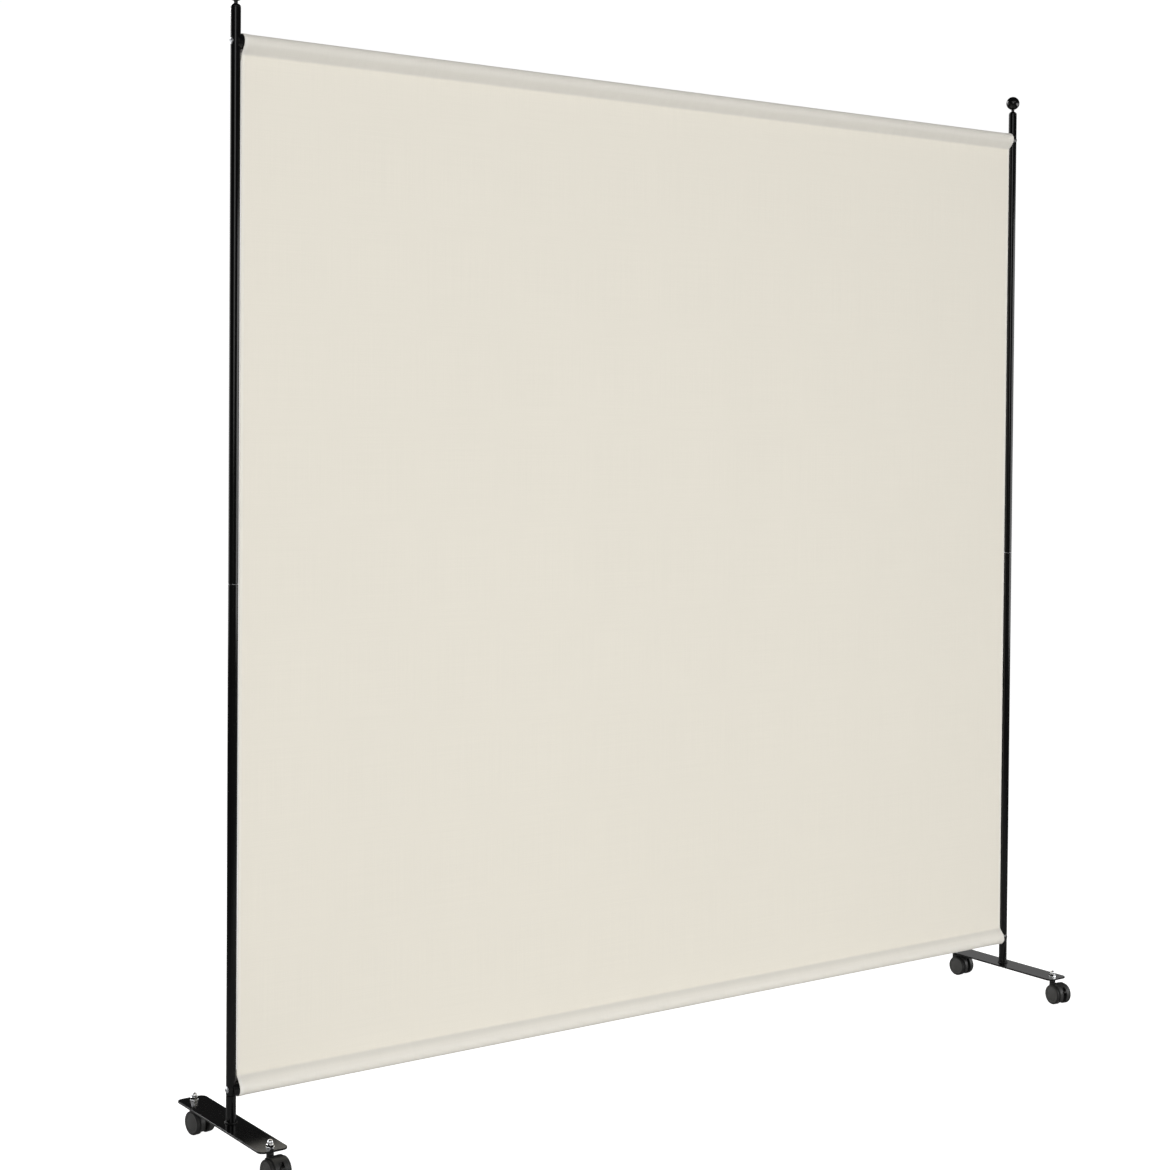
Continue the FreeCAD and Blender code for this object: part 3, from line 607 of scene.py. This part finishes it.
def smooth_sheet(settings):
    """The sewn cloth as a grid whose points are carried from the flat cut to their places."""
    cut = ClothCut(settings)
    stations, line = cut.path()
    rows = cut.rows(stations[-1])
    share, offset, depth = cut.columns()
    deselect_all()
    bpy.ops.mesh.primitive_grid_add(x_subdivisions=len(share) - 1, y_subdivisions=len(rows) - 1, size=1)
    sheet = name_piece("cloth_sheet")
    direction = np.gradient(line, axis=0)
    direction /= np.linalg.norm(direction, axis=1)[:, None]
    y, z, run_y, run_z = (np.interp(rows, stations, a)[:, None] for a in (*line.T, *direction.T))
    ends = np.minimum(rows, rows[-1] - rows)[:, None]
    x = np.repeat((cut.left + (cut.right - cut.left) * share + offset)[None, :], len(rows), axis=0)
    edge = np.minimum(x - cut.left, cut.right - x)
    on_sleeve = ease(ends - cut.overlap, 0, FLARE_FROM_SEAM) * ease(-cut.seam_distance(z), 0, FLARE_FROM_SEAM)
    stretched = cut.flare * (1 - ease(edge, *FLARE_FROM_EDGE)) * on_sleeve
    on_overlap = 1 - ease(ends - cut.overlap, *STACK_PAST_OVERLAP)
    stacked = 2 * cut.layer * (1 - ease(edge - cut.hem, *STACK_PAST_HEM)) * on_overlap
    inward = depth - stretched
    points = np.stack([
        x,
        y - run_z * inward + stacked + cut.waves(x, z),
        z + run_y * inward,
    ], axis=-1)
    write_points(sheet, points.reshape(-1, 3))
    widths = np.concatenate([[0], np.cumsum(np.hypot(np.diff(x[len(rows) // 2]), np.diff(depth)))])
    lay_flat_map(sheet, widths, rows)
    return sheet, (float(widths[-1]), float(rows[-1]))


def lay_flat_map(sheet, widths, rows):
    """Give the sheet its own map, in metres on the flat cut."""
    chart = np.stack(np.meshgrid(widths, rows), axis=-1).reshape(-1, 2)
    corners = np.zeros(len(sheet.data.loops), np.int32)
    sheet.data.loops.foreach_get("vertex_index", corners)
    while sheet.data.uv_layers:
        sheet.data.uv_layers.remove(sheet.data.uv_layers[0])
    layer = sheet.data.uv_layers.new(name="cut")
    layer.data.foreach_set("uv", chart[corners].astype(np.float32).ravel())


class DIVIDER_OT_cloth(bpy.types.Operator):
    """Sew the cloth: one sheet with a sleeve round each rail and a folded hem down each side"""
    bl_idname = "divider.cloth"
    bl_label = "Cloth Panel"

    def execute(self, context):
        settings = context.scene.divider_cloth
        sheet, flat = smooth_sheet(settings)
        sheet.modifiers.new("layer", "SOLIDIFY").thickness = settings.thickness
        sheet.modifiers["layer"].offset = 0
        apply_modifiers(sheet)
        edit_all()
        close_edit()
        bpy.ops.object.shade_smooth_by_angle(angle=CLOTH_CREASE)
        give_material(sheet, cloth_material(settings, flat))
        sheet["flat"] = flat
        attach(sheet, "frame")
        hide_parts("cloth_panel")
        return {"FINISHED"}


# Sewing, in metres

THREAD_ROUGHNESS = 0.7
THREAD_LOOK = {
    "texture": {"Colour Spread": 0.1, "Roughness Spread": 0.1, "Peel Scale": 5000, "Mottle Scale": 150},
    "bump": 0.4, "depth": 0.0001, "shader": {"Specular IOR Level": 0.3, "Sheen Weight": 0.1},
}
THREAD_PROUD_SHARE = 0.1
HEM_STITCH_INSET = 0.0012
HEM_STITCH_END = 0.012
SEAM_STITCH_DROP = 0.0035
SEAM_STITCH_END = 0.004
STITCH_FACES = {"segments": 6, "ring_count": 4}


def stitch_row(name, settings, start, end):
    """A row of lock stitches in the plane of the panel, from one (x, z) place to another."""
    run = Vector((end[0] - start[0], 0, end[1] - start[1]))
    count = int(run.length / settings.stitch_pitch)
    step = run / count
    deselect_all()
    bpy.ops.mesh.primitive_uv_sphere_add(**STITCH_FACES, radius=settings.thread_diameter / 2)
    row = name_piece(name)
    edit_all()
    longer = settings.stitch_length / settings.thread_diameter
    upright = abs(run.z) > abs(run.x)
    stretch = (1, 1, longer) if upright else (longer, 1, 1)
    bpy.ops.transform.resize(value=stretch, center_override=(0, 0, 0))
    bpy.ops.transform.translate(value=Vector((start[0], 0, start[1])) + step / 2)
    bpy.ops.object.mode_set(mode="OBJECT")
    array = row.modifiers.new("row", "ARRAY")
    array.use_relative_offset = False
    array.use_constant_offset = True
    array.constant_offset_displace = step
    array.count = count
    apply_modifiers(row)
    bpy.ops.object.shade_smooth()
    return row


def seat_on_faces(row, cut, front, back):
    """Put one copy of a row on the cloth's front face and one on its back."""
    points = read_points(row)
    swing = cut.waves(points[:, 0], points[:, 2])
    points[:, 1] += swing + front
    write_points(row, points)
    behind = copy_piece(row, row.name + "_back", Vector((0, back - front, 0)))
    select_only(row)
    behind.select_set(True)
    bpy.ops.object.join()


class DIVIDER_OT_stitching(bpy.types.Operator):
    """Sew the stitch rows along both sleeve seams and both side hems"""
    bl_idname = "divider.stitching"
    bl_label = "Stitching"

    def execute(self, context):
        settings = context.scene.divider_cloth
        cut = ClothCut(settings)
        material = surface_material("sewing_thread", settings.thread_colour, THREAD_ROUGHNESS, THREAD_LOOK)
        sunk = settings.thickness / 2 + settings.thread_diameter * THREAD_PROUD_SHARE
        inset = cut.hem - HEM_STITCH_INSET
        start, end = cut.left + SEAM_STITCH_END, cut.right - SEAM_STITCH_END
        foot, head = cut.lower_seam + HEM_STITCH_END, cut.upper_seam - HEM_STITCH_END
        upper, lower = cut.upper_seam - SEAM_STITCH_DROP, cut.lower_seam + SEAM_STITCH_DROP
        rows = {
            "seam_stitches_top": ((start, upper), (end, upper)),
            "seam_stitches_bottom": ((start, lower), (end, lower)),
            "hem_stitches_left": ((cut.left + inset, foot), (cut.left + inset, head)),
            "hem_stitches_right": ((cut.right - inset, foot), (cut.right - inset, head)),
        }
        for name, (start, end) in rows.items():
            row = stitch_row(name, settings, start, end)
            seat_on_faces(row, cut, -sunk, cut.layer + sunk)
            give_material(row, material)
            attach(row, "frame")
        return {"FINISHED"}


# Finials

FINIAL_RIM = 0.0004
FINIAL_CREASE = math.radians(40)
SHOULDER_SWEEP = math.radians(62)
SHOULDER_RINGS = 9
NECK_RINGS = 7
NECK_WAIST_SHARE = 0.06
BALL_RINGS = 30
BALL_POLE = 0.06  # half angle of the cap that closes the ball


def finial_rings(settings):
    """Rings of a finial as (radius, height): rounded shoulder, thin waisted neck and ball."""
    last = SHOULDER_SWEEP
    neck = settings.neck_radius
    drop = POST_RADIUS - neck
    rise = settings.shoulder_height - FINIAL_RIM
    rings = [(POST_RADIUS - FINIAL_RIM, POST_TOP)]
    for angle in np.linspace(0, last, SHOULDER_RINGS):
        share = (math.cos(angle) - math.cos(last)) / (1 - math.cos(last))
        rings.append((neck + drop * share, POST_TOP + FINIAL_RIM + rise * math.sin(angle) / math.sin(last)))
    centre = BALL_TOP - BALL_RADIUS
    foot = math.asin(neck / BALL_RADIUS)
    neck_start = rings[-1][1]
    neck_end = centre - BALL_RADIUS * math.cos(foot)
    for share in np.linspace(0, 1, NECK_RINGS)[1:-1]:
        waist = NECK_WAIST_SHARE * neck * math.sin(math.pi * share)
        rings.append((neck - waist, neck_start + (neck_end - neck_start) * share))
    for angle in np.linspace(foot, math.pi - BALL_POLE, BALL_RINGS):
        rings.append((BALL_RADIUS * math.sin(angle), centre - BALL_RADIUS * math.cos(angle)))
    return rings


def turn_piece(name, rings, place, segments):
    """Turn a piece about its upright axis: a disc is extruded ring by ring and closed with a pole."""
    deselect_all()
    radius, height = rings[0]
    bpy.ops.mesh.primitive_circle_add(
        vertices=segments, radius=radius, fill_type="NGON", location=place + Vector((0, 0, height)))
    piece = name_piece(name)
    edit_all()
    for next_radius, next_height in rings[1:]:
        bpy.ops.mesh.extrude_region_move(TRANSFORM_OT_translate={"value": (0, 0, next_height - height)})
        size = next_radius / radius
        bpy.ops.transform.resize(value=(size, size, 1), center_override=place + Vector((0, 0, next_height)))
        radius, height = next_radius, next_height
    bpy.ops.mesh.merge(type="CENTER")
    close_edit()
    bpy.ops.object.shade_smooth_by_angle(angle=FINIAL_CREASE)
    apply_place(piece)
    return piece


class DIVIDER_OT_finials(bpy.types.Operator):
    """Turn the ball finials that close the tops of the posts"""
    bl_idname = "divider.finials"
    bl_label = "Finials"

    def execute(self, context):
        settings = context.scene.divider_finial
        left = middle("left_finial")
        place = Vector((left.x, left.y, 0))
        first = turn_piece("turned_finial_left", finial_rings(settings), place, settings.segments)
        give_material(first, finish_material(context.scene.divider_finish, "black_plastic"))
        second = copy_to_right(first, "turned_finial_right", "finial")
        for piece, node in ((first, "left_finial"), (second, "right_finial")):
            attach(piece, "frame")
            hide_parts(node)
        return {"FINISHED"}


# Welds

RIPPLE_OVERLAP_SHARE = 0.95
RIPPLE_FACES = {"segments": 10, "ring_count": 6}
WELD_SLOPE = math.radians(45)


def weld_bead(settings, place, foot):
    """A ring of overlapping ripples on the weld's slope, around an upright tube that stands at place."""
    radius = POST_RADIUS + foot / 2
    pitch = 2 * math.pi * radius / settings.ripples
    deselect_all()
    bpy.ops.mesh.primitive_uv_sphere_add(**RIPPLE_FACES, radius=1)
    bead = name_piece("weld_bead_left")
    edit_all()
    bpy.ops.transform.resize(
        value=(settings.width / 2, pitch * RIPPLE_OVERLAP_SHARE, settings.height), center_override=(0, 0, 0))
    bpy.ops.transform.rotate(value=-WELD_SLOPE, orient_axis="Y", center_override=(0, 0, 0))
    bpy.ops.transform.translate(value=place + Vector((radius, 0, foot / 2)))
    turn = 2 * math.pi / settings.ripples
    bpy.ops.mesh.spin(
        dupli=True, steps=settings.ripples - 1, angle=2 * math.pi - turn, center=place, axis=(0, 0, 1))
    close_edit()
    bpy.ops.object.shade_smooth()
    apply_place(bead)
    return bead


class DIVIDER_OT_welds(bpy.types.Operator):
    """Lay the rippled weld bead around the foot of each base socket"""
    bl_idname = "divider.welds"
    bl_label = "Weld Beads"

    def execute(self, context):
        settings = context.scene.divider_weld
        left = middle("left_base_socket")
        foot = half_size("left_base_socket").y - POST_RADIUS
        place = Vector((left.x, left.y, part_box("left_base_socket")[0].z))
        first = weld_bead(settings, place, foot)
        give_material(first, finish_material(context.scene.divider_finish, "black_steel"))
        second = copy_to_right(first, "weld_bead_right", "base_socket")
        for piece in (first, second):
            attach(piece, "frame")
        return {"FINISHED"}


# Post joints

RIM_POINTS = 12
MERGE_SHARE = 0.05


def spin_rim(settings, place):
    """The rounded end of a tube, as a small circle spun about the upright axis at place."""
    rim = settings.rim_radius
    deselect_all()
    bpy.ops.mesh.primitive_circle_add(
        vertices=RIM_POINTS, radius=rim, location=place + Vector((POST_RADIUS - rim, 0, 0)),
        rotation=(math.pi / 2, 0, 0))
    piece = name_piece("joint_rim_left")
    edit_all()
    bpy.ops.mesh.spin(steps=settings.segments, angle=2 * math.pi, center=place, axis=(0, 0, 1))
    bpy.ops.mesh.select_all(action="SELECT")
    bpy.ops.mesh.remove_doubles(threshold=rim * MERGE_SHARE)
    close_edit()
    bpy.ops.object.shade_smooth()
    apply_place(piece)
    return piece


class DIVIDER_OT_joints(bpy.types.Operator):
    """Round the bare lower rim of each upper post, which shows as a thin light line at the joint"""
    bl_idname = "divider.joints"
    bl_label = "Post Joints"

    def execute(self, context):
        left = middle("left_upper_post")
        place = Vector((left.x, left.y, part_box("left_upper_post")[0].z))
        first = spin_rim(context.scene.divider_joint, place)
        give_material(first, finish_material(context.scene.divider_finish, "zinc_steel"))
        second = copy_to_right(first, "joint_rim_right", "upper_post")
        for piece in (first, second):
            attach(piece, "frame")
        return {"FINISHED"}


# Finishes

class DIVIDER_OT_finishes(bpy.types.Operator):
    """Give every piece that comes from the frame its coat, plating or moulded finish"""
    bl_idname = "divider.finishes"
    bl_label = "Finishes"

    def execute(self, context):
        settings = context.scene.divider_finish
        for row in frame["record"]["subparts"]:
            slot = row["material_slot"]
            if slot in FINISHES:
                give_slot(frame["nodes"][row["node"]], finish_material(settings, slot))
        return {"FINISHED"}


def give_slot(node, material):
    for slot in node.material_slots:
        slot.material = material


# Stage

# First and last angle to the right of the camera, low and high edge, distance, glow and lit surfaces
LIGHTS = {
    "front_softbox": (-25, 51, 0.2, 3.6, 6.0, 0.92, "matte"),
    "front_strip": (-9, 15, 1.1, 4.6, 8.0, 1.9, "both"),
    "high_front": (-25, 51, 3.6, 6.0, 6.0, 0.9, "both"),
    "low_fill": (14, 69, 0.1, 1.2, 5.0, 7.6, "matte"),
    "left_strip": (-150, -84, 0.2, 3.0, 6.0, 1.1, "both"),
    "left_rim": (210, 242, 2.8, 4.6, 5.0, 8.0, "gloss"),
    "right_window": (66, 118, 0.4, 1.9, 3.6, 3.2, "gloss"),
    "back_panel": (150, 180, 0.2, 3.0, 6.0, 0.38, "both"),
    "back_fill": (190, 246, 0.1, 2.4, 5.0, 3.0, "matte"),
    "back_high": (140, 220, 5.0, 8.0, 4.0, 2.4, "matte"),
}
PLATED_CARDS = {
    "card_left": (-150, -50, 0.0, 2.4, 3.0, 0.95, "both"),
    "card_front": (-35, 45, 0.6, 3.0, 4.0, 0.6, "both"),
    "card_right": (60, 140, 0.0, 2.4, 3.0, 0.5, "both"),
    "card_back": (150, 210, 0.5, 3.0, 4.0, 0.6, "both"),
}
PLATED_SLOTS = ("zinc_steel", "bright_plating")
BACKGROUND_GLOW = 1.02
WORLD_GLOW = {"matte": 0.215, "gloss": 0.03}
FAR_FLOOR_GLOW = {"matte": 0.18, "gloss": 0.06}
NEAR_FLOOR_GLOW = 0.93
FLOOR_GRAIN = 3.0
FLOOR_GRAIN_SPREAD = 0.02
FADE_START_SHARE = 0.5  # of the floor's radius
DISC_RADIUS = 60.0
DISC_POINTS = 96
SENSOR_WIDTH = 36


def add_softbox(name, camera, span, glow, surfaces):
    """An upright area light around the object. glow is its brightness as seen, not its power."""
    first, last, low, high, distance = span
    width = 2 * distance * math.tan(math.radians(last - first) / 2)
    turn = math.atan2(camera.y, camera.x) + math.radians(first + last) / 2
    light = bpy.data.lights.new(name, "AREA")
    light.shape = "RECTANGLE"
    light.size = width
    light.size_y = high - low
    light.energy = glow * math.pi * width * (high - low)
    lamp = bpy.data.objects.new(name, light)
    bpy.context.scene.collection.objects.link(lamp)
    outward = Vector((math.cos(turn), math.sin(turn), 0))
    lamp.location = outward * distance + Vector((0, 0, (low + high) / 2))
    lamp.rotation_euler = (-outward).to_track_quat("-Z", "Y").to_euler()
    lamp.visible_camera = False
    lamp.visible_glossy = surfaces != "matte"
    lamp.visible_diffuse = surfaces != "gloss"
    return lamp


def plated_collection():
    """The bolts, nuts, washers, stems and pins, which get white cards of their own."""
    collection = bpy.data.collections.new("plated")
    for row in frame["record"]["subparts"]:
        if row["material_slot"] in PLATED_SLOTS:
            collection.objects.link(frame["nodes"][row["node"]])
    return collection


def unequal_glow(tree, path, glow):
    """Strength of a white glow: full for the camera, and as given for matte and for gloss surfaces."""
    unseen = tree.add("ShaderNodeMapRange", inputs={
        "Value": path["Is Glossy Ray"], "To Min": glow["matte"], "To Max": glow["gloss"]}).outputs[0]
    return tree.add("ShaderNodeMix", data_type="FLOAT", inputs={
        0: path["Is Camera Ray"], 2: unseen, 3: BACKGROUND_GLOW}).outputs[0]


def floor_material(settings):
    """Pale floor that fades into the white background away from the object."""
    material = bpy.data.materials.new("studio_floor")
    material.use_nodes = True
    material.node_tree.nodes.clear()
    tree = Tree(material.node_tree)
    place = tree.add("ShaderNodeTexCoord").outputs["Object"]
    path = tree.add("ShaderNodeLightPath").outputs
    swing = tree.maths("SUBTRACT", tree.noise(place, FLOOR_GRAIN, 4.0), 0.5)
    grain = tree.maths("MULTIPLY", swing, FLOOR_GRAIN_SPREAD)
    distance = tree.add("ShaderNodeVectorMath", operation="LENGTH", inputs={0: place}).outputs["Value"]
    fade = tree.add("ShaderNodeMapRange", interpolation_type="SMOOTHSTEP", inputs={
        "Value": distance, "From Min": settings.floor_radius * FADE_START_SHARE,
        "From Max": settings.floor_radius}).outputs[0]
    shade = tree.add("ShaderNodeHueSaturation", inputs={
        "Value": tree.maths("ADD", grain, 1.0), "Color": (*settings.floor_colour, 1)})
    matte = tree.add("ShaderNodeBsdfDiffuse", inputs={"Color": shade.outputs[0]})
    seen = tree.maths("MULTIPLY", path["Is Camera Ray"], NEAR_FLOOR_GLOW)
    glow = tree.add("ShaderNodeEmission", inputs={"Strength": seen})
    near = tree.add("ShaderNodeAddShader", inputs={0: matte.outputs[0], 1: glow.outputs[0]})
    white = tree.add("ShaderNodeEmission", inputs={"Strength": unequal_glow(tree, path, FAR_FLOOR_GLOW)})
    mixed = tree.add("ShaderNodeMixShader", inputs={0: fade, 1: near.outputs[0], 2: white.outputs[0]})
    tree.add("ShaderNodeOutputMaterial", inputs={"Surface": mixed.outputs[0]})
    return material


def light_world():
    """White behind the object for the camera, and a dim even light for everything else."""
    world = bpy.data.worlds.new("studio")
    bpy.context.scene.world = world
    world.use_nodes = True
    world.node_tree.nodes.clear()
    tree = Tree(world.node_tree)
    path = tree.add("ShaderNodeLightPath").outputs
    strength = unequal_glow(tree, path, WORLD_GLOW)
    back = tree.add("ShaderNodeBackground", inputs={"Color": (1, 1, 1, 1), "Strength": strength})
    tree.add("ShaderNodeOutputWorld", inputs={"Surface": back.outputs[0]})


class DIVIDER_OT_stage(bpy.types.Operator):
    """Set the floor, the soft studio lights and the camera"""
    bl_idname = "divider.stage"
    bl_label = "Stage"

    def execute(self, context):
        settings = context.scene.divider_stage
        deselect_all()
        bpy.ops.mesh.primitive_circle_add(vertices=DISC_POINTS, radius=DISC_RADIUS, fill_type="NGON")
        floor = name_piece("studio_floor")
        give_material(floor, floor_material(settings))
        light_world()
        camera_place = Vector(settings.camera_place)
        for name, (*span, glow, surfaces) in LIGHTS.items():
            add_softbox(name, camera_place, span, glow, surfaces)
        plated = plated_collection()
        for name, (*span, glow, surfaces) in PLATED_CARDS.items():
            card = add_softbox(name, camera_place, span, glow, surfaces)
            card.light_linking.receiver_collection = plated
        lens = bpy.data.cameras.new("camera")
        lens.sensor_width = SENSOR_WIDTH
        lens.lens = settings.lens
        lens.shift_x, lens.shift_y = settings.shift
        camera = bpy.data.objects.new("camera", lens)
        context.scene.collection.objects.link(camera)
        turn = (Matrix.Rotation(-settings.camera_yaw, 4, "Z")
                @ Matrix.Rotation(math.pi / 2 + settings.camera_pitch, 4, "X")
                @ Matrix.Rotation(settings.camera_roll, 4, "Z"))
        camera.matrix_world = Matrix.Translation(camera_place) @ turn
        context.scene.camera = camera
        context.scene.view_settings.view_transform = "Standard"
        context.scene.view_settings.look = "None"
        return {"FINISHED"}


class DIVIDER_PT_panel(bpy.types.Panel):
    """Lists the steps that build the divider and the sizes and colours that they use"""
    bl_idname = "DIVIDER_PT_panel"
    bl_label = "Rolling Room Divider"
    bl_space_type = "VIEW_3D"
    bl_region_type = "UI"
    bl_category = "Divider"

    def draw(self, context):
        layout = self.layout
        for operator in OPERATORS:
            layout.operator(operator.bl_idname)
        for name, group in SETTINGS.items():
            values = getattr(context.scene, name)
            box = layout.box()
            for key in group.__annotations__:
                box.prop(values, key)


SETTINGS = {
    "divider_cloth": ClothSettings,
    "divider_finial": FinialSettings,
    "divider_weld": WeldSettings,
    "divider_joint": JointSettings,
    "divider_finish": FinishSettings,
    "divider_stage": StageSettings,
}
OPERATORS = (
    DIVIDER_OT_cloth, DIVIDER_OT_stitching, DIVIDER_OT_finials, DIVIDER_OT_welds, DIVIDER_OT_joints,
    DIVIDER_OT_finishes, DIVIDER_OT_stage,
)


def register():
    for name, group in SETTINGS.items():
        bpy.utils.register_class(group)
        setattr(bpy.types.Scene, name, bpy.props.PointerProperty(type=group))
    for operator in OPERATORS:
        bpy.utils.register_class(operator)
    bpy.utils.register_class(DIVIDER_PT_panel)


def unregister():
    bpy.utils.unregister_class(DIVIDER_PT_panel)
    for operator in reversed(OPERATORS):
        bpy.utils.unregister_class(operator)
    for name, group in SETTINGS.items():
        delattr(bpy.types.Scene, name)
        bpy.utils.unregister_class(group)


def main():
    register()
    bpy.ops.divider.cloth()
    bpy.ops.divider.stitching()
    bpy.ops.divider.finials()
    bpy.ops.divider.welds()
    bpy.ops.divider.joints()
    bpy.ops.divider.finishes()
    bpy.ops.divider.stage()


if __name__ == "__main__":
    main()
